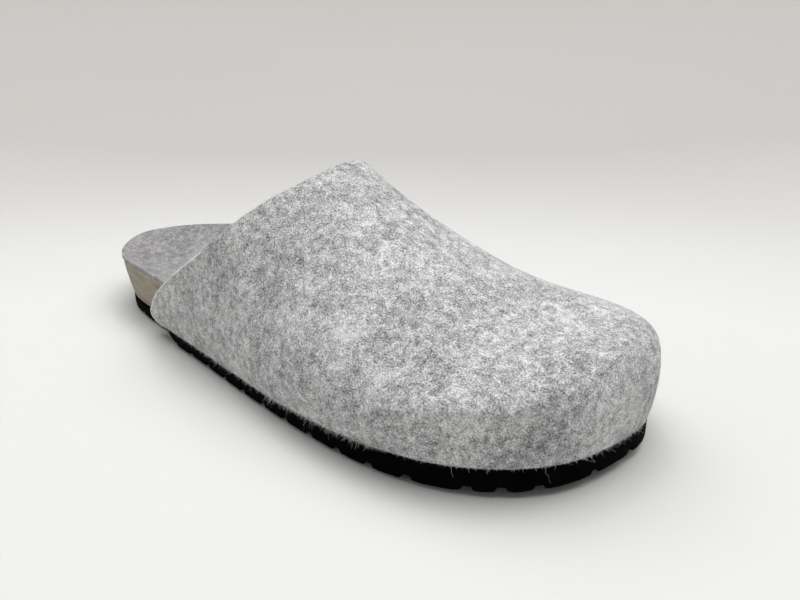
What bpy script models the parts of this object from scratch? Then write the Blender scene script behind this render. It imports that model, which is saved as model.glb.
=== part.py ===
"""Felt clog for the right foot: tread sole, moulded footbed, felt insole and a hollow felt upper.

The shoe is drawn with the heel at x = 0, the toe towards +X, the inner side of the foot towards +Y and
the floor at z = 0. Sizes are in millimetres, and MM turns them into Blender's metres.
"""

from collections import namedtuple

import bmesh
import bpy
import numpy as np
from mathutils import Matrix, Vector

MM = 0.001

# Driving dimensions
LENGTH = 276.0            # heel to toe of the upper's widest outline
FELT = 2.8                # wall of the upper
INSOLE = 2.0              # felt cover of the footbed
GAP = 0.3                 # clearance between pieces that lie against each other
TOE_SPRING = 2.9          # rise of the sole under the toe tip
SPRING_FROM = 0.72        # share of the length where the sole leaves the floor
TUCK = 2.0                # the upper's hem stands this far inside the widest outline

# Felt upper
THROAT = 0.543            # share of the length where the collar crosses the ridge
WING_END = 0.248          # share of the length where the upper's two wings end, behind the instep
CORNER = 3.0              # round corner between a wing's hem and its back edge
WING_DIP = 2.2            # the hem hangs this much lower at the end of a wing
WING_DIP_LENGTH = 11.0
RIBS = 34                 # ribs of the surface on each side, from the toe tip to the end of the wing
ROWS = 22                 # rows of the surface from hem to collar
GATHER = 1.6              # draws the ribs together towards the throat of the collar
WING_RIBS = (0.975, 0.985, 0.993, 1.0)   # extra ribs that follow the round corner
FINE = 5                  # points on a rib for each row, before the rows are spaced evenly

# Footbed, insole and sole
FOOTBED_BASE_INSET = 7.2  # foot of the footbed's side, inside the widest outline
FOOTBED_SIDE = 1.5        # curve of the footbed's side, 1 is straight
CUP = 2.2                 # curve of the footbed's dished top
INSOLE_OVERHANG = 0.5     # the insole stands this far over the footbed's rim
INSOLE_ROUND = 0.4        # worn-in edge of the insole
SOLE_BEVEL = 1.2          # bevel along the bottom edge of the sole
SPINE_FROM = 0.14         # the middle line that the footbed and sole are drawn from
SPINE_TO = 0.82
LOOP_STATIONS = 40        # stations along each side of a closed outline
FLAT_RINGS = (0, 0.6, 1)                  # rings of a flat face, as shares from the middle line to its edge
DISH_RINGS = (0, 0.3, 0.55, 0.75, 0.9, 1)   # rings of the dished top
SIDE_RINGS = (0.3, 0.65, 0.9)             # rings of the footbed's side, as shares of its height
SHARP_EDGE = 35.0         # edges bent more than this many degrees stay sharp
WELD = 0.001              # points closer than this are one point

# Tread
LUG_PITCH = 14.1
FIRST_GROOVE = 16.5
LAST_GROOVE = 240.0
GROOVE_MOUTH = 8.4
GROOVE_MIDDLE = 4.6
GROOVE_FLOOR = 2.4
GROOVE_DEPTH = 2.6
GROOVE_SHOULDER = 0.8     # height of the wide mouth that rounds off the lugs
GROOVE_LENGTH = 130.0     # grooves run right across the sole
TOE_NOTCH_LENGTH = 13.0   # short grooves that run inwards round the toe
TOE_NOTCH_INSIDE = 4.5    # their middle, inside the widest outline
NOTCH_STEP = 0.01         # step of the stations that give a notch its direction

# Where the toe's notches cross the widest outline, on the outer (-1) and inner (+1) side
Notch = namedtuple("Notch", "share side")
TOE_NOTCHES = (
    Notch(0.898, -1),
    Notch(0.930, -1),
    Notch(0.960, -1),
    Notch(0.991, -1),
    Notch(0.9997, -1),
    Notch(0.984, 1),
    Notch(0.950, 1),
    Notch(0.905, 1),
)

# Half widths of the widest outline, outer and inner side of the foot
Plan = namedtuple("Plan", "share outer inner")
PLAN = (
    Plan(0.000, 0.0, 0.0),
    Plan(0.030, 18.5, 23.0),
    Plan(0.100, 33.4, 33.0),
    Plan(0.200, 39.0, 36.2),
    Plan(0.330, 43.5, 34.2),
    Plan(0.460, 47.7, 32.6),
    Plan(0.590, 52.3, 37.6),
    Plan(0.700, 54.6, 46.0),
    Plan(0.800, 53.0, 52.0),
    Plan(0.880, 46.1, 52.9),
    Plan(0.940, 34.4, 45.2),
    Plan(0.985, 14.7, 29.4),
    Plan(1.000, -14.0, 14.0),
)

# Cross sections of the upper: height and sideways place of the ridge over the foot, height of the
# widest point of the wall, and height of the hem, all without the toe spring. Fullness is how boxy the
# section is across the foot, and crown how boxy it is upwards: 2 is an ellipse, less has a tight shoulder
Section = namedtuple("Section", "share ridge offset bulge hem fullness crown")
SECTIONS = (
    Section(0.20, 112.0, 7.0, 9.6, 5.6, 3.1, 3.4),
    Section(0.40, 100.8, 7.5, 16.3, 6.6, 2.8, 2.5),
    Section(0.55, 81.4, 6.0, 16.6, 7.1, 2.35, 1.6),
    Section(0.68, 64.8, 3.0, 19.5, 8.8, 2.1, 1.5),
    Section(0.78, 52.3, 8.0, 22.4, 9.9, 2.0, 1.5),
    Section(0.87, 44.0, 17.0, 28.0, 9.9, 2.1, 1.6),
    Section(0.94, 41.0, 17.0, 27.8, 9.5, 2.3, 2.0),
    Section(0.98, 39.1, 14.6, 24.5, 8.9, 2.4, 2.2),
    Section(1.00, 23.4, 14.0, 23.4, 8.4, 2.6, 2.5),
)

# Edge of the collar from below the throat, on the ridge, down to the end of a wing
Collar = namedtuple("Collar", "share height")
COLLAR = (
    Collar(0.537, 77.9),
    Collar(0.501, 68.7),
    Collar(0.446, 54.9),
    Collar(0.379, 41.9),
    Collar(0.320, 31.0),
    Collar(0.282, 23.0),
    Collar(0.262, 17.5),
    Collar(0.251, 13.1),
)

# Top of the footbed along its middle and along its outer and inner rim, and how far the rim stands
# inside the widest outline, without the toe spring
Footbed = namedtuple("Footbed", "share middle outer inner inset")
FOOTBED = (
    Footbed(0.00, 17.5, 24.4, 24.4, 3.8),
    Footbed(0.10, 16.3, 24.5, 26.6, 3.8),
    Footbed(0.20, 15.5, 24.6, 30.4, 4.0),
    Footbed(0.32, 16.2, 24.0, 31.6, 4.9),
    Footbed(0.45, 17.4, 22.4, 28.6, 4.9),
    Footbed(0.58, 17.2, 19.6, 22.2, 4.9),
    Footbed(0.70, 15.4, 16.8, 17.8, 4.9),
    Footbed(0.85, 14.4, 15.8, 16.2, 4.9),
    Footbed(1.00, 14.8, 16.0, 16.0, 4.9),
)

# Edge of the sole inside the widest outline, and height of its top
Sole = namedtuple("Sole", "share inset top")
SOLE = (
    Sole(0.00, 7.0, 5.4),
    Sole(0.15, 6.2, 5.4),
    Sole(0.23, 5.7, 5.4),
    Sole(0.265, 5.4, 5.4),
    Sole(0.285, 3.9, 5.5),
    Sole(0.305, 2.4, 5.7),
    Sole(0.36, 2.1, 6.1),
    Sole(0.46, 1.9, 6.4),
    Sole(0.55, 2.3, 6.8),
    Sole(0.68, 2.9, 8.5),
    Sole(0.78, 2.9, 9.6),
    Sole(0.87, 3.0, 9.6),
    Sole(0.95, 2.5, 9.0),
    Sole(1.00, 1.9, 8.1),
)


# Curves
def curve_through(places, values, at):
    """Smooth curve (natural cubic spline) through the values at the places, read at other places."""
    count = len(places)
    step = np.diff(places)
    slope = np.diff(values) / step
    system = np.eye(count)
    turn = np.zeros(count)
    for i in range(1, count - 1):
        system[i, i - 1:i + 2] = step[i - 1], 2 * (step[i - 1] + step[i]), step[i]
        turn[i] = 6 * (slope[i] - slope[i - 1])
    bend = np.linalg.solve(system, turn)
    k = np.clip(np.searchsorted(places, at) - 1, 0, count - 2)
    t = at - places[k]
    first = slope[k] - step[k] * (2 * bend[k] + bend[k + 1]) / 6
    third = (bend[k + 1] - bend[k]) / (6 * step[k])
    return values[k] + t * first + t ** 2 * bend[k] / 2 + t ** 3 * third


def station(share):
    """Stations are spaced like the shadow of a turning wheel, so that even steps round off heel and toe."""
    return np.arccos(1 - 2 * np.clip(share, 0, 1)) / np.pi


def share_at(place):
    return (1 - np.cos(np.pi * np.asarray(place))) / 2


def column(table, name):
    return np.array([getattr(row, name) for row in table], float)


def read(table, name, place):
    """A column of a table at a station along the shoe."""
    return curve_through(station(column(table, "share")), column(table, name), place)


def lift(x):
    """Toe spring at a distance from the heel."""
    t = np.clip((x / LENGTH - SPRING_FROM) / (1 - SPRING_FROM), 0, 1)
    return TOE_SPRING * t ** 2


def outline(place, side):
    """Widest outline in plan at a station, on the outer (-1) or inner (+1) side."""
    width = np.where(side < 0, -read(PLAN, "outer", place), read(PLAN, "inner", place))
    return np.stack([share_at(place) * LENGTH, width], -1)


def outward(points, closed):
    """Outward normals in plan of an outline that runs from the heel along the outer side to the toe."""
    if closed:
        tangent = np.roll(points, -1, axis=0) - np.roll(points, 1, axis=0)
    else:
        tangent = np.gradient(points, axis=0)
    tangent /= np.linalg.norm(tangent, axis=1, keepdims=True)
    return np.stack([tangent[:, 1], -tangent[:, 0]], -1)


# Felt upper
def wall(place, girth):
    """Outer surface of the upper at a station and a girth angle: 0 inner wall, 90 ridge, 180 outer wall."""
    side = np.where(np.cos(girth) < 0, -1, 1)
    reach = np.abs(np.cos(girth)) ** (2 / read(SECTIONS, "fullness", place))
    rise = np.abs(np.sin(girth)) ** (2 / read(SECTIONS, "crown", place))
    edge = outline(place, side)
    offset = read(SECTIONS, "offset", place)
    bulge = read(SECTIONS, "bulge", place)
    ridge = read(SECTIONS, "ridge", place)
    x = edge[..., 0]
    y = offset + (edge[..., 1] - offset) * reach
    z = bulge + (ridge - bulge) * rise + lift(x)
    return np.stack([x, y, z], -1)


def collar(rib):
    """Station and girth angle of the collar's edge at each rib."""
    along = np.abs(rib) ** GATHER
    steps = np.linspace(0, 1, len(COLLAR) + 1)
    throat = read(SECTIONS, "ridge", station(THROAT))
    place = station(curve_through(steps, np.append(THROAT, column(COLLAR, "share")), along))
    height = curve_through(steps, np.append(throat, column(COLLAR, "height")), along)
    bulge = read(SECTIONS, "bulge", place)
    rise = np.clip((height - bulge) / (read(SECTIONS, "ridge", place) - bulge), 0, 1)
    climb = np.arcsin(rise ** (read(SECTIONS, "crown", place) / 2))
    return place, np.where(rib < 0, np.pi - climb, climb)


def hem_heights(place):
    """Height of the hem, with the hanging, rounded end of each wing."""
    from_end = (share_at(place) - WING_END) * LENGTH
    dip = WING_DIP * np.clip(1 - from_end / WING_DIP_LENGTH, 0, 1) ** 2
    inside = np.clip(CORNER - from_end, 0, CORNER)
    corner = CORNER - np.sqrt(CORNER ** 2 - inside ** 2)
    return read(SECTIONS, "hem", place) - dip + corner


def upper_surface(rib, rows):
    """Grid of the upper's outer surface: one rib from hem to collar for each value from -1 to 1.

    Ribs are straight lines on a flat map of the toe dome, where the distance from the toe tip is the
    station and the direction is the girth angle, so they fan out from the toe without a pole.
    """
    reach = 1 - station(WING_END)
    foot = 1 - np.abs(rib) * reach
    side = np.where(rib < 0, -1, 1)
    edge = outline(foot, side)
    normal = outward(edge, closed=False)

    steps = np.linspace(0, 1, FINE * rows)
    place, girth = collar(rib)
    across = np.outer(rib * reach, 1 - steps) + np.outer((1 - place) * np.cos(girth), steps)
    up = np.outer((1 - place) * np.sin(girth), steps)
    dome = wall(1 - np.hypot(across, up), np.arctan2(up, across))

    hem = hem_heights(foot)
    bulge = read(SECTIONS, "bulge", foot)
    full = read(SECTIONS, "hem", foot)
    height = hem[:, None] + np.outer(bulge - hem, steps[:-1])
    inset = TUCK * np.clip((bulge[:, None] - height) / (bulge - full)[:, None], 0, None) ** 2
    plan = edge[:, None] - normal[:, None] * inset[..., None]
    band = np.concatenate([plan, (height + lift(edge[:, :1]))[..., None]], -1)

    grid = []
    for line in np.concatenate([band, dome], axis=1):
        run = np.concatenate([[0], np.cumsum(np.linalg.norm(np.diff(line, axis=0), axis=1))])
        even = np.linspace(0, run[-1], rows)
        grid.append(np.stack([np.interp(even, run, line[:, k]) for k in range(3)], -1))
    return np.array(grid)


# Closed outlines and the solids between them
def loop():
    """Stations and sides round the shoe: heel, outer side, toe, inner side."""
    along = np.linspace(0, 1, LOOP_STATIONS)
    place = np.concatenate([along, along[-2:0:-1]])
    side = np.concatenate([-np.ones(LOOP_STATIONS), np.ones(LOOP_STATIONS - 2)])
    return place, side


def inset_loop(inset):
    """Closed outline at a distance inside the widest one."""
    points = outline(*loop())
    return points - outward(points, closed=True) * np.broadcast_to(inset, len(points))[:, None]


def spine():
    """Stations and plan points of the middle line, one for each point of a loop."""
    place = np.clip(loop()[0], station(SPINE_FROM), station(SPINE_TO))
    outer = outline(place, -np.ones(len(place)))
    inner = outline(place, np.ones(len(place)))
    return place, (outer + inner) / 2


def spoke_ring(edge, share):
    """Ring between the middle line and an edge loop."""
    middle = spine()[1]
    return middle + (edge - middle) * share


def raised(plan, height):
    return np.column_stack([plan, np.broadcast_to(height, len(plan))])


def sole_top(plan):
    return read(SOLE, "top", station(plan[:, 0] / LENGTH)) + lift(plan[:, 0])


def footbed_rim():
    """Plan loop and heights of the footbed's rim."""
    place, side = loop()
    edge = inset_loop(read(FOOTBED, "inset", place))
    rim = np.where(side < 0, read(FOOTBED, "outer", place), read(FOOTBED, "inner", place))
    return edge, rim


def footbed_top(share):
    """Ring of the footbed's dished top, at a share of the way from the middle line to the rim."""
    edge, rim = footbed_rim()
    middle = read(FOOTBED, "middle", spine()[0])
    plan = spoke_ring(edge, share)
    return raised(plan, middle + (rim - middle) * share ** CUP + lift(plan[:, 0]))


# Objects
def finish(mesh, name, material, collection, root):
    """Object in the shoe's collection, on its root, smooth but for its sharp edges."""
    obj = bpy.data.objects.new(name, mesh)
    mesh.materials.append(material)
    mesh.shade_smooth()
    mesh.set_sharp_from_angle(angle=np.radians(SHARP_EDGE))
    collection.objects.link(obj)
    obj.parent = root
    return obj


def ring_mesh(name, rings):
    """Closed mesh through a stack of rings whose first and last are folded flat on the middle line."""
    bm = bmesh.new()
    rows = [[bm.verts.new(Vector(p) * MM) for p in ring] for ring in rings]
    count = len(rows[0])
    for low, high in zip(rows, rows[1:]):
        for i in range(count):
            j = (i + 1) % count
            bm.faces.new((low[i], low[j], high[j], high[i]))
    bmesh.ops.remove_doubles(bm, verts=bm.verts, dist=WELD * MM)
    bmesh.ops.recalc_face_normals(bm, faces=bm.faces)
    mesh = bpy.data.meshes.new(name)
    bm.to_mesh(mesh)
    bm.free()
    return mesh


def grid_mesh(name, grid):
    """Open mesh over a grid of points."""
    bm = bmesh.new()
    rows = [[bm.verts.new(Vector(p) * MM) for p in line] for line in grid]
    for near, far in zip(rows, rows[1:]):
        for i in range(len(near) - 1):
            bm.faces.new((near[i], far[i], far[i + 1], near[i + 1]))
    mesh = bpy.data.meshes.new(name)
    bm.to_mesh(mesh)
    bm.free()
    return mesh


def make_material(name, colour, roughness):
    material = bpy.data.materials.new(name)
    material.use_nodes = True
    shader = material.node_tree.nodes["Principled BSDF"]
    shader.inputs["Base Color"].default_value = (*colour, 1)
    shader.inputs["Roughness"].default_value = roughness
    shader.inputs["Metallic"].default_value = 0
    return material


def make_upper(material, collection, root):
    even = np.linspace(0, WING_RIBS[0], RIBS, endpoint=False)
    half = np.concatenate([even, WING_RIBS])
    rib = np.concatenate([-half[:0:-1], half])
    mesh = grid_mesh("upper", upper_surface(rib, ROWS))
    upper = finish(mesh, "upper", material, collection, root)
    felt = upper.modifiers.new("felt wall", "SOLIDIFY")
    felt.thickness = FELT * MM
    felt.offset = -1
    felt.use_quality_normals = True
    return upper


def make_footbed(material, collection, root):
    edge, rim = footbed_rim()
    base = inset_loop(FOOTBED_BASE_INSET)
    rim_heights = rim + lift(edge[:, 0])
    base_heights = sole_top(base) + GAP
    rings = []
    for share in FLAT_RINGS:
        plan = spoke_ring(base, share)
        rings.append(raised(plan, sole_top(plan) + GAP))
    for climb in SIDE_RINGS:
        plan = edge + (base - edge) * (1 - climb) ** FOOTBED_SIDE
        rings.append(raised(plan, base_heights + (rim_heights - base_heights) * climb))
    for share in reversed(DISH_RINGS):
        rings.append(footbed_top(share))
    return finish(ring_mesh("footbed", rings), "footbed", material, collection, root)


def make_insole(material, collection, root):
    under = [footbed_top(share) + (0, 0, GAP) for share in DISH_RINGS]
    over = [ring + (0, 0, INSOLE) for ring in under]
    normal = outward(under[-1][:, :2], closed=True)
    edge = raised(under[-1][:, :2] + normal * INSOLE_OVERHANG, under[-1][:, 2])
    rounded = raised(under[-1][:, :2] + normal * (INSOLE_OVERHANG - INSOLE_ROUND), over[-1][:, 2])
    rings = under + [edge, edge + (0, 0, INSOLE - INSOLE_ROUND), rounded] + over[::-1]
    return finish(ring_mesh("insole", rings), "insole", material, collection, root)


def groove_profile():
    """Outline of a groove across its length, open side down, with a wider rounded mouth."""
    half = [
        (GROOVE_MOUTH / 2, -GROOVE_DEPTH),
        (GROOVE_MOUTH / 2, 0),
        (GROOVE_MIDDLE / 2, GROOVE_SHOULDER),
        (GROOVE_FLOOR / 2, GROOVE_DEPTH),
    ]
    return half + [(-across, up) for across, up in reversed(half)]


def groove_mesh(length):
    """Bar of the groove's profile along local Y, made from a flat outline and welded."""
    curve = bpy.data.curves.new("groove", "CURVE")
    curve.dimensions = "2D"
    curve.fill_mode = "BOTH"
    curve.extrude = length / 2 * MM
    profile = groove_profile()
    spline = curve.splines.new("POLY")
    spline.points.add(len(profile) - 1)
    for point, (across, up) in zip(spline.points, profile):
        point.co = (across * MM, up * MM, 0, 1)
    spline.use_cyclic_u = True
    guide = bpy.data.objects.new("groove", curve)
    bpy.context.scene.collection.objects.link(guide)
    depsgraph = bpy.context.evaluated_depsgraph_get()
    mesh = bpy.data.meshes.new_from_object(guide.evaluated_get(depsgraph))
    bpy.data.objects.remove(guide)
    bm = bmesh.new()
    bm.from_mesh(mesh)
    bmesh.ops.remove_doubles(bm, verts=bm.verts, dist=WELD * MM)
    bmesh.ops.recalc_face_normals(bm, faces=bm.faces)
    bmesh.ops.rotate(bm, verts=bm.verts, matrix=Matrix.Rotation(np.pi / 2, 3, "X"))
    bm.to_mesh(mesh)
    bm.free()
    return mesh


def groove_places():
    """Middle, direction in plan and length of each groove: across the sole, then round the toe."""
    places = []
    for x in np.arange(FIRST_GROOVE, LAST_GROOVE, LUG_PITCH):
        places.append((np.array([x, 0.0]), np.array([0.0, 1.0]), GROOVE_LENGTH))
    for notch in TOE_NOTCHES:
        turn = notch.side * (1 - station(notch.share)) + NOTCH_STEP * np.array([-1, 0, 1])
        edge = outline(1 - np.abs(turn), np.where(turn < 0, -1, 1))
        inward = -outward(edge, closed=False)[1]
        places.append((edge[1] + inward * TOE_NOTCH_INSIDE, inward, TOE_NOTCH_LENGTH))
    return places


def make_tread_cutter(collection, root):
    """All grooves of the tread as one cutter."""
    bm = bmesh.new()
    for middle, direction, length in groove_places():
        bar = groove_mesh(length)
        turn = Matrix.Rotation(np.arctan2(-direction[0], direction[1]), 4, "Z")
        spot = Vector((*middle, lift(middle[0]))) * MM
        bar.transform(Matrix.Translation(spot) @ turn)
        bm.from_mesh(bar)
        bpy.data.meshes.remove(bar)
    mesh = bpy.data.meshes.new("tread cutter")
    bm.to_mesh(mesh)
    bm.free()
    cutter = bpy.data.objects.new("tread cutter", mesh)
    cutter.hide_render = True
    cutter.display_type = "WIRE"
    collection.objects.link(cutter)
    cutter.parent = root
    return cutter


def make_outsole(material, collection, root, cutter):
    place = loop()[0]
    inset = read(SOLE, "inset", place)
    side = inset_loop(inset)
    floor = inset_loop(inset + SOLE_BEVEL)
    rings = []
    for share in FLAT_RINGS:
        plan = spoke_ring(floor, share)
        rings.append(raised(plan, lift(plan[:, 0])))
    rings.append(raised(side, SOLE_BEVEL + lift(side[:, 0])))
    for share in reversed(FLAT_RINGS):
        plan = spoke_ring(side, share)
        rings.append(raised(plan, sole_top(plan)))
    outsole = finish(ring_mesh("outsole", rings), "outsole", material, collection, root)
    tread = outsole.modifiers.new("tread", "BOOLEAN")
    tread.operation = "DIFFERENCE"
    tread.solver = "EXACT"
    tread.use_self = True
    tread.object = cutter
    return outsole


def box_middle(objects):
    """Middle in plan of the box round the objects' own meshes."""
    points = np.array([v.co[:2] for obj in objects for v in obj.data.vertices])
    return (points.min(0) + points.max(0)) / 2


def main():
    for obj in list(bpy.data.objects):
        bpy.data.objects.remove(obj)
    parts = bpy.data.collections.new("felt_clog")
    cutters = bpy.data.collections.new("cutters")
    bpy.context.scene.collection.children.link(parts)
    bpy.context.scene.collection.children.link(cutters)
    root = bpy.data.objects.new("clog_root", None)
    parts.objects.link(root)

    grey_felt = make_material("grey felt", (0.42, 0.42, 0.42), 0.95)
    insole_felt = make_material("insole felt", (0.33, 0.33, 0.33), 0.95)
    cork_block = make_material("footbed block", (0.36, 0.33, 0.27), 0.85)
    black_foam = make_material("black foam rubber", (0.012, 0.012, 0.013), 0.6)

    cutter = make_tread_cutter(cutters, root)
    shoe = [
        make_outsole(black_foam, parts, root, cutter),
        make_footbed(cork_block, parts, root),
        make_insole(insole_felt, parts, root),
        make_upper(grey_felt, parts, root),
    ]
    middle = box_middle(shoe)
    root.location = (-middle[0], -middle[1], 0)


main()
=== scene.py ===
# %% [markdown]
# # A felt clog for the right foot
# The clog is a hollow vamp of light grey melange felt on a dished footbed with a felt insole and a black
# tread sole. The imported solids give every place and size. This lesson dresses them: it draws the felt
# again with a finer surface, lays loose fibres on it, and gives each piece a material made of nodes.

# %% Frame
import math
from collections import namedtuple

import bmesh
import bpy
import numpy as np
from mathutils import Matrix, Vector, noise


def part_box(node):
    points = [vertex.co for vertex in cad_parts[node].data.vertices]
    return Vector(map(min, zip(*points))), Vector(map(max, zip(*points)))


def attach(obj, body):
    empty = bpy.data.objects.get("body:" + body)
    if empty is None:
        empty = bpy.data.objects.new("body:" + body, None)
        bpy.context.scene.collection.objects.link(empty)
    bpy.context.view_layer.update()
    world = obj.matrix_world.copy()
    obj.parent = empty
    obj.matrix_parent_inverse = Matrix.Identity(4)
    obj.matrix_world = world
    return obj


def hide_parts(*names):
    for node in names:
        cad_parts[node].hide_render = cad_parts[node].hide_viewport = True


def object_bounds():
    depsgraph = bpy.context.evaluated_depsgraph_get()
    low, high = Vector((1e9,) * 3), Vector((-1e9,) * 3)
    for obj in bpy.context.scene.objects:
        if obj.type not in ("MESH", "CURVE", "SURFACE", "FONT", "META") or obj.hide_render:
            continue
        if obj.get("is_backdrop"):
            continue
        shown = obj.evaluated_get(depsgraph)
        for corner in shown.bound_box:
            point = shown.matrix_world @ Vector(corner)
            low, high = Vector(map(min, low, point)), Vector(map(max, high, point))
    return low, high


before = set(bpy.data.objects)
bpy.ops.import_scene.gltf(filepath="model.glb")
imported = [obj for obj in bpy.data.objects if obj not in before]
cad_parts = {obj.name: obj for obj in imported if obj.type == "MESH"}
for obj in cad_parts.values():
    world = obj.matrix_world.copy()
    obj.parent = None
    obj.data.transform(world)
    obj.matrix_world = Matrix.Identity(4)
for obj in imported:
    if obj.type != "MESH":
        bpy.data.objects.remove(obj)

MM = 0.001
cad_low, cad_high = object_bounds()
cad_size = (cad_high - cad_low) / MM
print("solids:", ", ".join(sorted(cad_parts)), "size in mm:", [round(side, 1) for side in cad_size])

# %% [markdown]
# ## Camera
# The picture was taken with a phone close to the shoe, from above its outer toe. A long lens far away
# would flatten it, so the camera stands as close as the real one did: about 30 cm from the middle of the
# vamp. The lens is given as the focal length in pixels of an 800 pixel wide picture. All its values were
# fitted to the outline of the shoe.

# %% Camera
PICTURE_WIDTH = 800
FOCAL_PIXELS = 787.6
AZIMUTH, ELEVATION = math.radians(42.72), math.radians(21.57)
CAMERA_DISTANCE = 293.8 * MM
AIM = Vector((43.04, -1.22, 36.03)) * MM

lens = bpy.data.cameras.new("camera")
lens.lens = lens.sensor_width * FOCAL_PIXELS / PICTURE_WIDTH
lens.clip_start = 0.01
camera = bpy.data.objects.new("camera", lens)
bpy.context.scene.collection.objects.link(camera)
back = Vector((
    math.sin(AZIMUTH) * math.cos(ELEVATION),
    -math.cos(AZIMUTH) * math.cos(ELEVATION),
    math.sin(ELEVATION),
))
camera.location = AIM + back * CAMERA_DISTANCE
camera.rotation_euler = (-back).to_track_quat("-Z", "Y").to_euler()
bpy.context.scene.camera = camera
print("lens of", round(lens.lens, 1), "mm at", [round(c / MM) for c in camera.location], "mm")

# %% [markdown]
# ## Nodes and colours
# A material is a small network of nodes. One function adds any node, with its settings and its links, so
# the materials below read like recipes. Colours are written as the eye and a paint chart see them (sRGB
# hex values), and one function turns them into the linear light that the renderer adds up.

# %% Nodes and colours
def linear(hex_colour):
    """Linear red, green, blue and alpha of an sRGB colour such as "c8c8c6"."""
    parts = [int(hex_colour[i:i + 2], 16) / 255 for i in (0, 2, 4)]
    return [c / 12.92 if c <= 0.04045 else ((c + 0.055) / 1.055) ** 2.4 for c in parts] + [1.0]


def add_node(tree, kind, sockets=(), stops=(), **settings):
    """One node. A socket gets a value or a link, and stops are the (place, colour) pairs of a ramp."""
    made = tree.nodes.new("ShaderNode" + kind)
    for name, value in settings.items():
        setattr(made, name, value)
    for name, value in dict(sockets).items():
        if isinstance(value, bpy.types.NodeSocket):
            tree.links.new(value, made.inputs[name])
        else:
            made.inputs[name].default_value = value
    for i, (place, colour) in enumerate(stops):
        stop = made.color_ramp.elements[i] if i < 2 else made.color_ramp.elements.new(place)
        stop.position = place
        stop.color = linear(colour)
    return made


def new_material(name, **sockets):
    """Material with one Principled shader, whose constants are set on its own sockets."""
    material = bpy.data.materials.new(name)
    material.use_nodes = True
    shader = material.node_tree.nodes["Principled BSDF"]
    for socket, value in sockets.items():
        shader.inputs[socket.replace("_", " ").title().replace("Ior", "IOR")].default_value = value
    return material, material.node_tree, shader


def per_mm(size):
    """Scale of a pattern, in repeats per metre, from the size of one repeat in millimetres."""
    return 1 / (size * MM)


print("paper white in linear light:", [round(c, 3) for c in linear("f0f0ee")])

# %% [markdown]
# ## Floor
# The shoe stands on card that curves up all round. A flat wall would do, but it leaves a line
# behind the shoe, and a curve leaves none. Card that is white all the way up would throw light back on
# every wall of the felt and flatten it. So the white is a painted pool of light, an oval round the shoe
# long across the picture; away from it the card turns grey, fastest upwards, as darker card and painted
# shade.

# %% Floor
FLAT_RADIUS = 330 * MM
SWEEP_RADIUS = 420 * MM
SWEEP_HEIGHT = 900 * MM
SWEEP_STEPS = 24
POOL_FORWARD = 40 * MM
POOL_STRETCH = 2
POOL_CLIMB = 3
POOL_RADIUS = 120 * MM
FADE_END = 1100 * MM

# Matt card with a painted pool of light near the shoe and painted shade away from it, dull enough to show
# only a soft shadow
right = Vector((math.cos(AZIMUTH), math.sin(AZIMUTH), 0))
behind = Vector((-math.sin(AZIMUTH), math.cos(AZIMUTH), 0))
paper, tree, shader = new_material("card_painted_with_light_pool", roughness=0.85, specular_ior_level=0.2)
coords = add_node(tree, "TexCoord").outputs["Object"]
oval = add_node(tree, "Mapping", {
    "Vector": coords, "Location": -behind * POOL_FORWARD, "Rotation": (0, 0, AZIMUTH),
    "Scale": (POOL_STRETCH, 1, 1 / POOL_CLIMB)}, vector_type="TEXTURE")
away = add_node(tree, "VectorMath", {0: oval.outputs["Vector"]}, operation="LENGTH")
fade = add_node(tree, "MapRange", {
    "Value": away.outputs["Value"], "From Min": POOL_RADIUS, "From Max": FADE_END})
# The ramp paints light and shade: pale in the pool by the shoe, grey away from it
painted_light_and_shade = add_node(tree, "ValToRGB", {"Fac": fade.outputs["Result"]}, [
    (0.0, "cfcfce"), (0.085, "c8c8c7"), (0.185, "bdbcbb"),
    (0.33, "afaeab"), (0.72, "b5b3b0"), (1.0, "8a8986")])
tree.links.new(painted_light_and_shade.outputs["Color"], shader.inputs["Base Color"])

profile = [(0.0, 0.0), (FLAT_RADIUS / 2, 0.0)]
for angle in np.linspace(0, math.pi / 2, SWEEP_STEPS):
    profile.append((FLAT_RADIUS + SWEEP_RADIUS * math.sin(angle), SWEEP_RADIUS * (1 - math.cos(angle))))
profile.append((FLAT_RADIUS + SWEEP_RADIUS, SWEEP_HEIGHT))
mesh = bpy.data.meshes.new("floor")
mesh.from_pydata([(r, 0, z) for r, z in profile], [(i, i + 1) for i in range(len(profile) - 1)], [])
floor = bpy.data.objects.new("floor", mesh)
bpy.context.scene.collection.objects.link(floor)
turned = floor.modifiers.new("turned", "SCREW")
turned.steps = turned.render_steps = 96
turned.use_smooth_shade = True
turned.use_merge_vertices = True
turned.merge_threshold = 0.0001
mesh.materials.append(paper)
floor.visible_shadow = False
floor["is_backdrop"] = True
print("floor is flat for", round(FLAT_RADIUS / MM), "mm round the shoe")

# %% [markdown]
# ## Light
# The light is soft, mostly from above and behind: the top of the felt is bright, the wall that faces the
# lens is darker, and the shadow on the floor has no edge. One softbox overhead would light both sides
# alike, so five large ones stand round the shoe, each with its own power in watts. The powers were fitted
# to the tones of the real picture and then scaled. Turn is counted from the right of the picture towards
# the back, and rise from the floor, both in degrees.

# %% Light
Softbox = namedtuple("Softbox", "name turn rise power")
SOFTBOXES = (
    Softbox("overhead", 0, 90, 19.8),
    Softbox("right", 0, 60, 20.8),
    Softbox("behind_right", 60, 60, 8.9),
    Softbox("behind_left", 120, 55, 18.1),
    Softbox("left", 180, 32, 6.9),
)
SOFTBOX_SIZE = 1450 * MM
SOFTBOX_DISTANCE = 2000 * MM
SKY = "ffffff"
SKY_STRENGTH = 0.02

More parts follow.
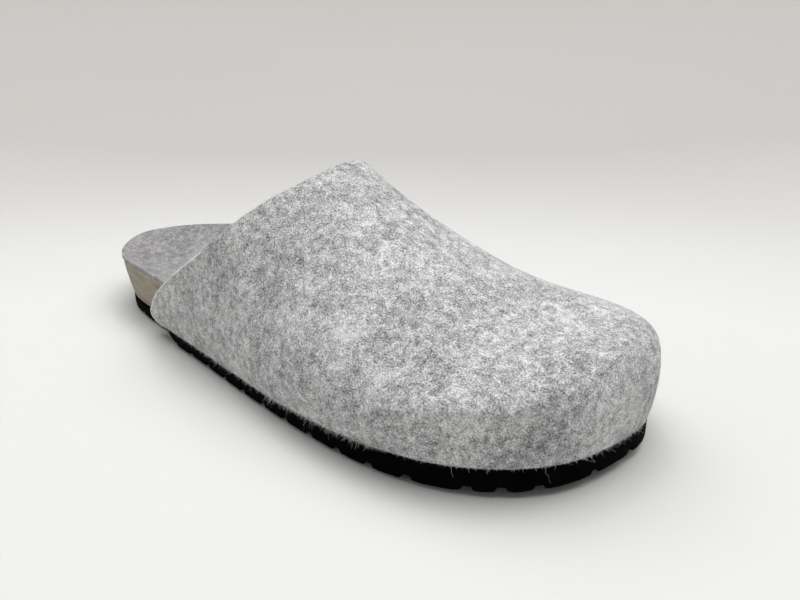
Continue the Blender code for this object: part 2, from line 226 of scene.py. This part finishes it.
for box in SOFTBOXES:
    turn, rise = math.radians(box.turn), math.radians(box.rise)
    level = right * math.cos(turn) + behind * math.sin(turn)
    towards = level * math.cos(rise) + Vector((0, 0, math.sin(rise)))
    softbox = bpy.data.lights.new(box.name, "AREA")
    softbox.shape = "SQUARE"
    softbox.size = SOFTBOX_SIZE
    softbox.energy = box.power
    lamp = bpy.data.objects.new(box.name, softbox)
    lamp.location = AIM + towards * SOFTBOX_DISTANCE
    lamp.rotation_euler = (-towards).to_track_quat("-Z", "Y").to_euler()
    bpy.context.scene.collection.objects.link(lamp)
world = bpy.data.worlds.new("room")
world.use_nodes = True
sky = world.node_tree.nodes["Background"]
sky.inputs["Color"].default_value = linear(SKY)
sky.inputs["Strength"].default_value = SKY_STRENGTH
bpy.context.scene.world = world
bpy.context.scene.view_settings.view_transform = "Standard"
print("softboxes:", ", ".join(box.name for box in SOFTBOXES))

# %% [markdown]
# ## Melange felt
# The vamp is needle felt: white, grey and charcoal fibres carded together and matted with barbed needles.
# The eye sees no weave, but cloudy patches a centimetre wide, blotches of 2 to 4 mm where one shade was
# drawn out, and flecks under a millimetre. Three noises of those sizes are added and read through a ramp
# from charcoal to white. Felt has no gloss, only a faint sheen from fibre ends that stand up. The same
# recipe with other shades gives the cut edge, a painted highlight along the collar, and the insole's felt.

# %% Melange felt
def felt_material(name, stops, patch, blotch, fleck, fine, sheen=0.1):
    """Needle felt: mottle of three sizes in millimetres, the share of flecks, and a ramp of shades."""
    material, tree, shader = new_material(
        name, roughness=0.95, specular_ior_level=0.15, sheen_weight=sheen, sheen_roughness=0.55)
    coords = add_node(tree, "TexCoord").outputs["Object"]
    clouds = add_node(tree, "TexNoise", {"Vector": coords, "Scale": per_mm(patch), "Detail": 2})
    blotches = add_node(tree, "TexNoise", {
        "Vector": coords, "Scale": per_mm(blotch), "Detail": 3, "Roughness": 0.6, "Distortion": 0.4})
    flecks = add_node(tree, "TexNoise", {
        "Vector": coords, "Scale": per_mm(fleck), "Detail": 1, "Roughness": 0.6, "Distortion": 0.3})
    coarse = add_node(tree, "Mix", {
        "Factor": 0.7, "A": clouds.outputs["Fac"], "B": blotches.outputs["Fac"]})
    tone = add_node(tree, "Mix", {
        "Factor": fine, "A": coarse.outputs["Result"], "B": flecks.outputs["Fac"]})
    shade = add_node(tree, "ValToRGB", {"Fac": tone.outputs["Result"]}, stops)
    tree.links.new(shade.outputs["Color"], shader.inputs["Base Color"])
    relief = add_node(tree, "Bump", {
        "Height": flecks.outputs["Fac"], "Strength": 0.6, "Distance": 0.25 * MM})
    tree.links.new(relief.outputs["Normal"], shader.inputs["Normal"])
    return material


# Light grey with charcoal flecks, the colour of the whole vamp
vamp_felt = felt_material(
    "grey_melange_needle_felt", [(0.38, "656566"), (0.5, "acacad"), (0.62, "e4e4e5")],
    patch=16, blotch=3.0, fleck=0.55, fine=0.47)
# Nearly white, a painted highlight: a thin line along the collar of the wings and at the wing ends
painted_highlight_felt = felt_material(
    "felt_painted_highlight", [(0.38, "c6c6c6"), (0.5, "e6e6e6"), (0.62, "f8f8f8")],
    patch=16, blotch=3.0, fleck=0.55, fine=0.47)
# A clean cut through the felt, a little paler than its face
cut_felt = felt_material(
    "cut_felt_edge", [(0.38, "777777"), (0.5, "aaaaaa"), (0.62, "d4d4d4")],
    patch=16, blotch=3.0, fleck=0.55, fine=0.47)
# Flat mid grey with a low mottle, calmer than the vamp
insole_felt = felt_material(
    "pressed_grey_felt", [(0.38, "686767"), (0.5, "868585"), (0.62, "a4a3a3")],
    patch=12, blotch=3.0, fleck=0.8, fine=0.4)
print("felts:", vamp_felt.name, painted_highlight_felt.name, cut_felt.name, insole_felt.name)

# %% [markdown]
# ## Footbed and sole materials
# The block under the foot is cork granulate and latex, pressed in a mould and painted greige. It is matt,
# with faint streaks along the side where the paint was rolled on. The sole is black foam rubber (EVA)
# from a sanded steel mould, so it is nearly black, dull, and finely pitted.

# %% Footbed and sole materials
# Warm grey beside the neutral felts, with faint streaks along the block
block_paint, tree, shader = new_material("greige_cork_block", roughness=0.8, specular_ior_level=0.25)
coords = add_node(tree, "TexCoord").outputs["Object"]
stretch = add_node(tree, "Mapping", {"Vector": coords, "Scale": (1, 1, 6)})
streaks = add_node(tree, "TexNoise", {
    "Vector": stretch.outputs["Vector"], "Scale": per_mm(14), "Detail": 4, "Roughness": 0.6})
grains = add_node(tree, "TexNoise", {"Vector": coords, "Scale": per_mm(1.2), "Detail": 2})
tone = add_node(tree, "Mix", {
    "Factor": 0.3, "A": streaks.outputs["Fac"], "B": grains.outputs["Fac"]})
shade = add_node(tree, "ValToRGB", {"Fac": tone.outputs["Result"]}, [(0.3, "7b7567"), (0.7, "a8a292")])
tree.links.new(shade.outputs["Color"], shader.inputs["Base Color"])
relief = add_node(tree, "Bump", {"Height": grains.outputs["Fac"], "Strength": 0.3, "Distance": 0.2 * MM})
tree.links.new(relief.outputs["Normal"], shader.inputs["Normal"])

# A black line under the pale felt, with no highlight
sole_foam, tree, shader = new_material("black_eva_foam", roughness=0.8, specular_ior_level=0.02)
coords = add_node(tree, "TexCoord").outputs["Object"]
pits = add_node(tree, "TexNoise", {"Vector": coords, "Scale": per_mm(0.8), "Detail": 3})
rubbed = add_node(tree, "TexNoise", {"Vector": coords, "Scale": per_mm(9), "Detail": 3})
shade = add_node(tree, "ValToRGB", {"Fac": rubbed.outputs["Fac"]}, [(0.35, "020202"), (0.75, "060605")])
tree.links.new(shade.outputs["Color"], shader.inputs["Base Color"])
relief = add_node(tree, "Bump", {"Height": pits.outputs["Fac"], "Strength": 0.35, "Distance": 0.2 * MM})
tree.links.new(relief.outputs["Normal"], shader.inputs["Normal"])
print("moulded materials:", block_paint.name, sole_foam.name)

# %% [markdown]
# ## Loose fibres
# Wool and polyester fibres are 0.02 mm thick, far under a pixel here, so they are drawn as ribbons about
# 0.07 mm wide. Each fibre has one shade of the blend. The shade is kept in the fibre's UV map, across, and
# a ramp reads it, so that one material serves every fibre.

# %% Fibre material
FIBRE_MAP = "OFBake"

# Single hairs of every shade, which break up the smooth face of the felt
fibre_blend, tree, shader = new_material(
    "carded_felt_fibres", roughness=0.9, specular_ior_level=0.2, sheen_weight=0.1, sheen_roughness=0.5)
chart = add_node(tree, "UVMap", uv_map=FIBRE_MAP)
across = add_node(tree, "SeparateXYZ", {"Vector": chart.outputs["UV"]})
shade = add_node(tree, "ValToRGB", {"Fac": across.outputs["X"]}, [
    (0.0, "5e5e5d"), (0.3, "8e8e8d"), (0.6, "b8b8b7"), (1.0, "dededc")])
tree.links.new(shade.outputs["Color"], shader.inputs["Base Color"])
print("fibre shades:", len(shade.color_ramp.elements))

# %% [markdown]
# ## The last in numbers
# A shoemaker keeps the last as a few measured sections, and so does this cell: half widths of the widest
# outline, the ridge over the foot, the widest point of the wall, the hem, and the collar's edge. They are
# the sizes of the solid vamp, fitted to the outline and shading of the real shoe and rounded. The sections
# are read through smooth curves, so the surface can be drawn as finely as the felt needs. Sizes are in
# millimetres from the heel, and HEEL moves them to the frame.

# %% The last in numbers
LENGTH = 276.0
FELT = 2.8
TOE_SPRING = 2.9
SPRING_FROM = 0.72
TUCK = 2.0
THROAT = 0.543
WING_END = 0.248
CORNER = 3.0
WING_DIP = 2.2
WING_DIP_LENGTH = 11.0
GATHER = 1.6
FINE = 5

Plan = namedtuple("Plan", "share outer inner")
PLAN = (
    Plan(0.000, 0.0, 0.0),
    Plan(0.030, 18.5, 23.0),
    Plan(0.100, 33.4, 33.0),
    Plan(0.200, 39.0, 36.2),
    Plan(0.330, 43.5, 34.2),
    Plan(0.460, 47.7, 32.6),
    Plan(0.590, 52.3, 37.6),
    Plan(0.700, 54.6, 46.0),
    Plan(0.800, 53.0, 52.0),
    Plan(0.880, 46.1, 52.9),
    Plan(0.940, 34.4, 45.2),
    Plan(0.985, 14.7, 29.4),
    Plan(1.000, -14.0, 14.0),
)
Section = namedtuple("Section", "share ridge offset bulge hem fullness crown")
SECTIONS = (
    Section(0.20, 112.0, 7.0, 9.6, 5.6, 3.1, 3.4),
    Section(0.40, 100.8, 7.5, 16.3, 6.6, 2.8, 2.5),
    Section(0.55, 81.4, 6.0, 16.6, 7.1, 2.35, 1.6),
    Section(0.68, 64.8, 3.0, 19.5, 8.8, 2.1, 1.5),
    Section(0.78, 52.3, 8.0, 22.4, 9.9, 2.0, 1.5),
    Section(0.87, 44.0, 17.0, 28.0, 9.9, 2.1, 1.6),
    Section(0.94, 41.0, 17.0, 27.8, 9.5, 2.3, 2.0),
    Section(0.98, 39.1, 14.6, 24.5, 8.9, 2.4, 2.2),
    Section(1.00, 23.4, 14.0, 23.4, 8.4, 2.6, 2.5),
)
Collar = namedtuple("Collar", "share height")
COLLAR = (
    Collar(0.537, 77.9),
    Collar(0.501, 68.7),
    Collar(0.446, 54.9),
    Collar(0.379, 41.9),
    Collar(0.320, 31.0),
    Collar(0.282, 23.0),
    Collar(0.262, 17.5),
    Collar(0.251, 13.1),
)
print("tables:", len(PLAN), "widths,", len(SECTIONS), "sections,", len(COLLAR), "collar points")

# %% [markdown]
# ## Reading the sections
# Stations along the shoe are spaced like the shadow of a turning wheel. Even steps then crowd together at
# heel and toe, and a plain table rounds them off. The vamp is drawn with ribs that fan out from the toe
# tip: they are straight lines on a flat map of the toe dome, so no point of the felt is a pinched pole.

# %% Reading the sections
def curve_through(places, values, at):
    """Natural cubic spline through the values at the places, read at other places."""
    count = len(places)
    step = np.diff(places)
    slope = np.diff(values) / step
    system = np.eye(count)
    turn = np.zeros(count)
    for i in range(1, count - 1):
        system[i, i - 1:i + 2] = step[i - 1], 2 * (step[i - 1] + step[i]), step[i]
        turn[i] = 6 * (slope[i] - slope[i - 1])
    bend = np.linalg.solve(system, turn)
    k = np.clip(np.searchsorted(places, at) - 1, 0, count - 2)
    t = at - places[k]
    first = slope[k] - step[k] * (2 * bend[k] + bend[k + 1]) / 6
    third = (bend[k + 1] - bend[k]) / (6 * step[k])
    return values[k] + t * first + t ** 2 * bend[k] / 2 + t ** 3 * third


def station(share):
    return np.arccos(1 - 2 * np.clip(share, 0, 1)) / np.pi


def share_at(place):
    return (1 - np.cos(np.pi * np.asarray(place))) / 2


def column(table, name):
    return np.array([getattr(row, name) for row in table], float)


def read(table, name, place):
    """A column of a table at a station along the shoe."""
    return curve_through(station(column(table, "share")), column(table, name), place)


def lift(x):
    """Toe spring at a distance from the heel."""
    t = np.clip((x / LENGTH - SPRING_FROM) / (1 - SPRING_FROM), 0, 1)
    return TOE_SPRING * t ** 2


def outline(place, side):
    """Widest outline in plan at a station, on the outer (-1) or inner (+1) side."""
    width = np.where(side < 0, -read(PLAN, "outer", place), read(PLAN, "inner", place))
    return np.stack([share_at(place) * LENGTH, width], -1)


def outward(points):
    """Outward normals in plan of an outline that runs from the outer wing round the toe."""
    tangent = np.gradient(points, axis=0)
    tangent /= np.linalg.norm(tangent, axis=1, keepdims=True)
    return np.stack([tangent[:, 1], -tangent[:, 0]], -1)


def wall(place, girth):
    """Outer surface of the vamp at a station and a girth angle: 0 inner wall, 90 ridge, 180 outer wall."""
    side = np.where(np.cos(girth) < 0, -1, 1)
    reach = np.abs(np.cos(girth)) ** (2 / read(SECTIONS, "fullness", place))
    rise = np.abs(np.sin(girth)) ** (2 / read(SECTIONS, "crown", place))
    edge = outline(place, side)
    offset = read(SECTIONS, "offset", place)
    bulge = read(SECTIONS, "bulge", place)
    ridge = read(SECTIONS, "ridge", place)
    x = edge[..., 0]
    y = offset + (edge[..., 1] - offset) * reach
    z = bulge + (ridge - bulge) * rise + lift(x)
    return np.stack([x, y, z], -1)


def collar(rib):
    """Station and girth angle of the collar's edge at each rib."""
    along = np.abs(rib) ** GATHER
    steps = np.linspace(0, 1, len(COLLAR) + 1)
    throat = read(SECTIONS, "ridge", station(THROAT))
    place = station(curve_through(steps, np.append(THROAT, column(COLLAR, "share")), along))
    height = curve_through(steps, np.append(throat, column(COLLAR, "height")), along)
    bulge = read(SECTIONS, "bulge", place)
    rise = np.clip((height - bulge) / (read(SECTIONS, "ridge", place) - bulge), 0, 1)
    climb = np.arcsin(rise ** (read(SECTIONS, "crown", place) / 2))
    return place, np.where(rib < 0, np.pi - climb, climb)


def hem_heights(place):
    """Height of the hem, with the hanging, rounded end of each wing."""
    from_end = (share_at(place) - WING_END) * LENGTH
    dip = WING_DIP * np.clip(1 - from_end / WING_DIP_LENGTH, 0, 1) ** 2
    inside = np.clip(CORNER - from_end, 0, CORNER)
    corner = CORNER - np.sqrt(CORNER ** 2 - inside ** 2)
    return read(SECTIONS, "hem", place) - dip + corner


def vamp_surface(rib, rows):
    """Grid of the vamp's outer surface: one rib from hem to collar for each value from -1 to 1."""
    reach = 1 - station(WING_END)
    foot = 1 - np.abs(rib) * reach
    edge = outline(foot, np.where(rib < 0, -1, 1))
    normal = outward(edge)
    steps = np.linspace(0, 1, FINE * rows)
    place, girth = collar(rib)
    across = np.outer(rib * reach, 1 - steps) + np.outer((1 - place) * np.cos(girth), steps)
    up = np.outer((1 - place) * np.sin(girth), steps)
    dome = wall(1 - np.hypot(across, up), np.arctan2(up, across))
    hem = hem_heights(foot)
    bulge = read(SECTIONS, "bulge", foot)
    full = read(SECTIONS, "hem", foot)
    height = hem[:, None] + np.outer(bulge - hem, steps[:-1])
    inset = TUCK * np.clip((bulge[:, None] - height) / (bulge - full)[:, None], 0, None) ** 2
    plan = edge[:, None] - normal[:, None] * inset[..., None]
    band = np.concatenate([plan, (height + lift(edge[:, :1]))[..., None]], -1)
    grid = []
    for line in np.concatenate([band, dome], axis=1):
        run = np.concatenate([[0], np.cumsum(np.linalg.norm(np.diff(line, axis=0), axis=1))])
        even = np.linspace(0, run[-1], rows)
        grid.append(np.stack([np.interp(even, run, line[:, k]) for k in range(3)], -1))
    return np.array(grid)


# The frame's origin is the middle of the box in plan, and the heel of the last is at x = 0
probe = vamp_surface(np.linspace(-1, 1, 201), 40)
box_low, box_high = [np.array(corner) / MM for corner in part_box("upper")]
HEEL = np.array([box_high[0] - probe[..., 0].max(), box_high[1] - probe[..., 1].max(), 0.0])
print("the heel of the last is at", HEEL.round(2), "mm; the wings end at",
      (probe[..., 0].min() + HEEL[0]).round(2), "mm, in the solid at", box_low[0].round(2))

# %% [markdown]
# ## The felt vamp
# The outer face is one grid of points about a millimetre apart. Felt is never quite even, so each point
# moves by up to a fifth of a millimetre along a smooth noise. Solidify gives the wall its thickness
# inwards, and a bevel rounds the cut edges of collar and hem, where light catches. The faces next to the
# collar of the wings, and those at the wing ends, get a nearly white felt that is a painted highlight.

# %% The felt vamp
RIBS = 120
CORNER_RIBS = 14
CORNER_FROM = 0.965
ROWS = 100
UNEVEN = ((22.0, 0.16), (5.0, 0.07))
CUT_ROUND = 0.7
# Width in millimetres of the painted highlight along the collar, and the rib beyond which it lies, towards
# the wing ends
HIGHLIGHT_WIDTH = 0.9
HIGHLIGHT_FROM = 0.45


def normals_of(grid):
    """Outward normals of a grid of points."""
    along = np.gradient(grid, axis=0)
    up = np.gradient(grid, axis=1)
    normal = np.cross(along, up)
    # The end ribs run out along the collar, where the two directions meet, so they borrow a normal
    normal[[0, -1]] = normal[[1, -2]]
    return normal / np.linalg.norm(normal, axis=-1, keepdims=True)


def unevenness(points, waves):
    """Smooth noise at each point: waves are pairs of wave length and height in millimetres."""
    heights = np.zeros(len(points))
    for length, height in waves:
        heights += [height * noise.noise(Vector(p) / length) for p in points]
    return heights


def add_piece(name, mesh, material, replaced=None):
    """A shown piece of the shoe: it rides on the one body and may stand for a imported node."""
    piece = bpy.data.objects.new(name, mesh)
    bpy.context.scene.collection.objects.link(piece)
    mesh.materials.clear()
    mesh.materials.append(material)
    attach(piece, "root")
    if replaced:
        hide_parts(replaced)
    return piece


half = np.concatenate([
    np.linspace(0, CORNER_FROM, RIBS, endpoint=False), np.linspace(CORNER_FROM, 1, CORNER_RIBS)])
vamp = vamp_surface(np.concatenate([-half[:0:-1], half]), ROWS) + HEEL
vamp_normals = normals_of(vamp)
waviness = unevenness(vamp.reshape(-1, 3), UNEVEN).reshape(vamp.shape[:2])
vamp = vamp + vamp_normals * waviness[..., None]

ribs, rows = vamp.shape[:2]
index = np.arange(ribs * rows).reshape(ribs, rows)
quads = np.stack([index[:-1, :-1], index[1:, :-1], index[1:, 1:], index[:-1, 1:]], -1).reshape(-1, 4)
mesh = bpy.data.meshes.new("upper_felt")
mesh.from_pydata((vamp.reshape(-1, 3) * MM).tolist(), [], quads.tolist())
mesh.shade_smooth()
upper = add_piece("upper_felt", mesh, vamp_felt, "upper")
thick = upper.modifiers.new("felt wall", "SOLIDIFY")
thick.thickness = FELT * MM
thick.offset = -1
thick.use_quality_normals = True
thick.material_offset_rim = 2
cut = upper.modifiers.new("cut edge", "BEVEL")
cut.width = CUT_ROUND * MM
cut.segments = 3
cut.limit_method = "ANGLE"
cut.angle_limit = math.radians(60)
cut.material = 2
mesh.materials.append(painted_highlight_felt)
mesh.materials.append(cut_felt)
# Painted highlight: the faces next to the collar of the wings, and the end strips of both wings, take the
# nearly white felt
gaps = np.linalg.norm(np.diff(vamp, axis=1), axis=2)
to_collar = np.cumsum(gaps[:, ::-1], axis=1)[:, ::-1]
on_wing = np.concatenate([half[:0:-1], half]) > HIGHLIGHT_FROM
highlight_faces = (to_collar < HIGHLIGHT_WIDTH) & on_wing[:, None]
highlight_faces[[0, -2]] = True
mesh.polygons.foreach_set("material_index", highlight_faces[:-1].ravel().astype(np.int32))
print("felt vamp:", ribs, "ribs of", rows, "points")

# %% [markdown]
# ## Insole, footbed and sole
# These three keep the form of their solids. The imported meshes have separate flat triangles, so their
# corners are welded and shaded smooth, except at real edges, and a small bevel rounds those.

# %% Insole, footbed and sole
Copy = namedtuple("Copy", "node name material edge slot sharp bevel")
COPIES = (
    Copy("insole", "insole_cover", insole_felt, cut_felt, "insole_felt", 40, 0.35),
    Copy("footbed", "footbed_block", block_paint, block_paint, "footbed_block", 40, 0.3),
    Copy("outsole", "tread_sole", sole_foam, sole_foam, "tread_sole", 35, 0.45),
)


def welded_copy(copy):
    """A node's mesh with shared corners, smooth but for edges sharper than the copy's angle."""
    bm = bmesh.new()
    bm.from_mesh(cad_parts[copy.node].data)
    bmesh.ops.remove_doubles(bm, verts=bm.verts, dist=0.001 * MM)
    bmesh.ops.join_triangles(
        bm, faces=bm.faces, angle_face_threshold=math.radians(5), angle_shape_threshold=math.pi)
    mesh = bpy.data.meshes.new(copy.name)
    bm.to_mesh(mesh)
    bm.free()
    mesh.shade_smooth()
    mesh.set_sharp_from_angle(angle=math.radians(copy.sharp))
    return mesh


for copy in COPIES:
    piece = add_piece(copy.name, welded_copy(copy), copy.material, copy.node)
    piece.data.materials.append(copy.edge)
    rounded = piece.modifiers.new("rounded edges", "BEVEL")
    rounded.width = copy.bevel * MM
    rounded.segments = 2
    rounded.limit_method = "ANGLE"
    rounded.angle_limit = math.radians(copy.sharp)
    rounded.material = 1
    print(copy.name, "follows", copy.node)

# %% [markdown]
# ## Nap
# Fibres lie on the felt in every direction, a few millimetres long, and some ends stand up. They could be
# a hair system, but ribbons in one mesh are the same in every program. Arrays make all of them at once:
# a middle on the surface, a direction along it, a slight bend, and a lift of the free end.

# %% Nap
def scatter(grid, count, rng):
    """Random points on a grid surface, even by area, with the normals there."""
    a, b, c, d = grid[:-1, :-1], grid[1:, :-1], grid[1:, 1:], grid[:-1, 1:]
    facing = np.cross(c - a, d - b)
    area = np.linalg.norm(facing, axis=-1)
    pick = rng.choice(area.size, count, p=(area / area.sum()).ravel())
    u, v = rng.random((2, count, 1))
    corners = [corner.reshape(-1, 3)[pick] for corner in (a, b, c, d)]
    points = (corners[0] * (1 - u) + corners[1] * u) * (1 - v) + (corners[3] * (1 - u) + corners[2] * u) * v
    return points, (facing / area[..., None]).reshape(-1, 3)[pick]


def unit(vectors):
    return vectors / np.linalg.norm(vectors, axis=-1, keepdims=True)


def fibre_mesh(name, spine, facing, width, tone):
    """Ribbons along spines (fibre, point, xyz in millimetres), flat against a facing, with a shade each."""
    count, points = spine.shape[:2]
    along = np.gradient(spine, axis=1)
    across = unit(np.cross(along, facing[:, None]))
    taper = np.linspace(1, 0.35, points)[None, :, None]
    half = across * width[:, None, None] / 2 * taper
    corners = np.stack([spine - half, spine + half], 2).reshape(-1, 3)
    index = np.arange(count * points * 2).reshape(count, points, 2)
    strips = np.stack([index[:, :-1, 0], index[:, :-1, 1], index[:, 1:, 1], index[:, 1:, 0]], -1)
    mesh = bpy.data.meshes.new(name)
    mesh.from_pydata((corners * MM).tolist(), [], strips.reshape(-1, 4).tolist())
    share = np.linspace(0, 1, points)
    chart = np.zeros((count, points, 2, 2))
    chart[..., 0] = tone[:, None, None] + np.array([-0.004, 0.004])
    chart[..., 1] = share[None, :, None]
    corner_of = np.zeros(len(mesh.loops), int)
    mesh.loops.foreach_get("vertex_index", corner_of)
    layer = mesh.uv_layers.new(name=FIBRE_MAP)
    places = np.clip(chart.reshape(-1, 2), 0.01, 0.99)[corner_of]
    layer.uv.foreach_set("vector", places.astype(np.float32).ravel())
    mesh.shade_smooth()
    return mesh


NAP_COUNT = 42000
NAP_LENGTH = (0.8, 2.4)
NAP_WIDTH = (0.04, 0.08)
NAP_STANDS = 0.35
NAP_BEND = 0.25
NAP_CLEAR = 0.05
NAP_SHADE = (0.62, 0.24)
rng = np.random.default_rng(7)

points, normals = scatter(vamp, NAP_COUNT, rng)
direction = unit(np.cross(normals, rng.normal(size=points.shape)))
sideways = np.cross(normals, direction)
length = rng.uniform(*NAP_LENGTH, NAP_COUNT)
bend = rng.normal(0, NAP_BEND, NAP_COUNT)
stand = NAP_STANDS * rng.random(NAP_COUNT) ** 4
steps = np.linspace(-0.5, 0.5, 3)
spine = (
    points[:, None]
    + direction[:, None] * (length[:, None] * steps)[..., None]
    + sideways[:, None] * (length * bend)[:, None, None] * (steps ** 2)[None, :, None]
    + normals[:, None] * (NAP_CLEAR + stand[:, None] * (steps + 0.5) ** 2)[..., None]
)
tone = np.clip(rng.normal(*NAP_SHADE, NAP_COUNT), 0.02, 0.98)
nap = fibre_mesh("upper_nap", spine, normals, rng.uniform(*NAP_WIDTH, NAP_COUNT), tone)
add_piece("upper_nap", nap, fibre_blend)
print("nap of", NAP_COUNT, "fibres")

# %% [markdown]
# ## Fuzz of the cut edges
# Scissors leave loose ends along hem and collar. At the hem they hang over the black sole, where each pale
# fibre shows. A table gives their length in millimetres at places along the hem, from the outer wing: it
# is greatest beside the ball of the foot, where the edge is rubbed. The collar has only a short fringe.
# Two single hairs hang in front of the sole, as pairs of place along the hem and height.

# %% Fuzz of the cut edges
HEM_COUNT = 9000
COLLAR_COUNT = 6000
Hang = namedtuple("Hang", "along length")
HANG = (
    Hang(0, 0.4), Hang(45, 0.8), Hang(92, 0.85), Hang(97, 1.2), Hang(148, 1.2),
    Hang(155, 0.45), Hang(214, 0.45), Hang(220, 0.9), Hang(245, 0.9), Hang(260, 0.5),
)
HEM_SHORTEST = 0.4
HEM_SPREAD = 0.45
HEM_LONGEST = 2.8
HEM_HANG = np.array([0, 0, -1.0])
COLLAR_SHORTEST = 0.2
COLLAR_SPREAD = 0.25
COLLAR_LONGEST = 1.2
COLLAR_HANG = np.array([-0.6, 0, 0.8])
FUZZ_OUT = (-0.1, 0.7)
FUZZ_STRAY = 0.6
FUZZ_CURL = 0.35
FUZZ_ROOT = 0.3
FUZZ_SHADE = (0.85, 0.12)
FUZZ_WIDTH = (0.06, 0.1)
HAIR_SHADE = 0.7
HAIR_WIDTH = 0.06
HAIR_CLEAR = 0.3
STRAY_HAIRS = (
    ((177.6, 0.3), (177.9, -0.9), (178.0, -2.2), (178.5, -3.2), (178.4, -4.4)),
    ((206.2, 0.3), (206.1, -1.9), (207.3, -3.1), (207.4, -4.5), (208.2, -6.0)),
)


def read_along(line, values, at):
    """Values kept along a line, read at distances from its first point."""
    run = np.concatenate([[0], np.cumsum(np.linalg.norm(np.diff(line, axis=0), axis=1))])
    return np.stack([np.interp(at, run, values[:, k]) for k in range(3)], -1)


def edge_fuzz(line, outwards, hang, lengths, at, rng):
    """Spines and facings of short fibres rooted along an edge of the felt."""
    count = len(at)
    root = read_along(line, line, at)
    out = unit(read_along(line, outwards, at))
    leaning = out * rng.uniform(*FUZZ_OUT, (count, 1))
    heading = unit(hang + leaning + FUZZ_STRAY * rng.normal(size=(count, 3)))
    drift = rng.normal(0, FUZZ_CURL, (count, 3))
    steps = np.linspace(0, 1, 4)[None, :, None]
    reach = lengths[:, None, None] * steps
    spine = root[:, None] + heading[:, None] * (reach - FUZZ_ROOT) + drift[:, None] * reach * steps
    return spine, out


def edge_length(line):
    return np.linalg.norm(np.diff(line, axis=0), axis=1).sum()


hem, hem_out = vamp[:, 0], vamp_normals[:, 0]
at = rng.random(HEM_COUNT) * edge_length(hem)
hang = np.interp(at, column(HANG, "along"), column(HANG, "length"))
lengths = np.clip((rng.exponential(HEM_SPREAD, HEM_COUNT) + HEM_SHORTEST) * hang, 0, HEM_LONGEST)
hem_spine, hem_facing = edge_fuzz(hem, hem_out, HEM_HANG, lengths, at, rng)
collar_edge, collar_out = vamp[:, -1], vamp_normals[:, -1]
at = rng.random(COLLAR_COUNT) * edge_length(collar_edge)
lengths = np.clip(rng.exponential(COLLAR_SPREAD, COLLAR_COUNT) + COLLAR_SHORTEST, 0, COLLAR_LONGEST)
collar_spine, collar_facing = edge_fuzz(collar_edge, collar_out, COLLAR_HANG, lengths, at, rng)
spine = np.concatenate([hem_spine, collar_spine])
facing = np.concatenate([hem_facing, collar_facing])
tone = np.clip(rng.normal(*FUZZ_SHADE, len(spine)), 0.1, 0.98)
fuzz = fibre_mesh("edge_fuzz", spine, facing, rng.uniform(*FUZZ_WIDTH, len(spine)), tone)
add_piece("edge_fuzz", fuzz, fibre_blend)

kinks = np.array(STRAY_HAIRS)
hair_out = unit(read_along(hem, hem_out, kinks[..., 0]))
hairs = read_along(hem, hem, kinks[..., 0]) + kinks[..., 1:] * np.array([0, 0, 1]) + HAIR_CLEAR * hair_out
each = np.ones(len(hairs))
strays = fibre_mesh("stray_hairs", hairs, hair_out[:, 0], HAIR_WIDTH * each, HAIR_SHADE * each)
add_piece("stray_hairs", strays, fibre_blend)
print("fuzz of", len(spine), "fibres and", len(hairs), "stray hairs")

# %% [markdown]
# ## Size
# The dressed shoe has to fill the box of its solids, apart from the fuzz that stands proud. The size of the
# solids' box is printed at the start, and here how far the dressed shoe grows past it on each side.

# %% Size
low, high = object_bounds()
grown = [round(c / MM, 2) for c in (*(cad_low - low), *(high - cad_high))]
print("grown by", grown, "mm")
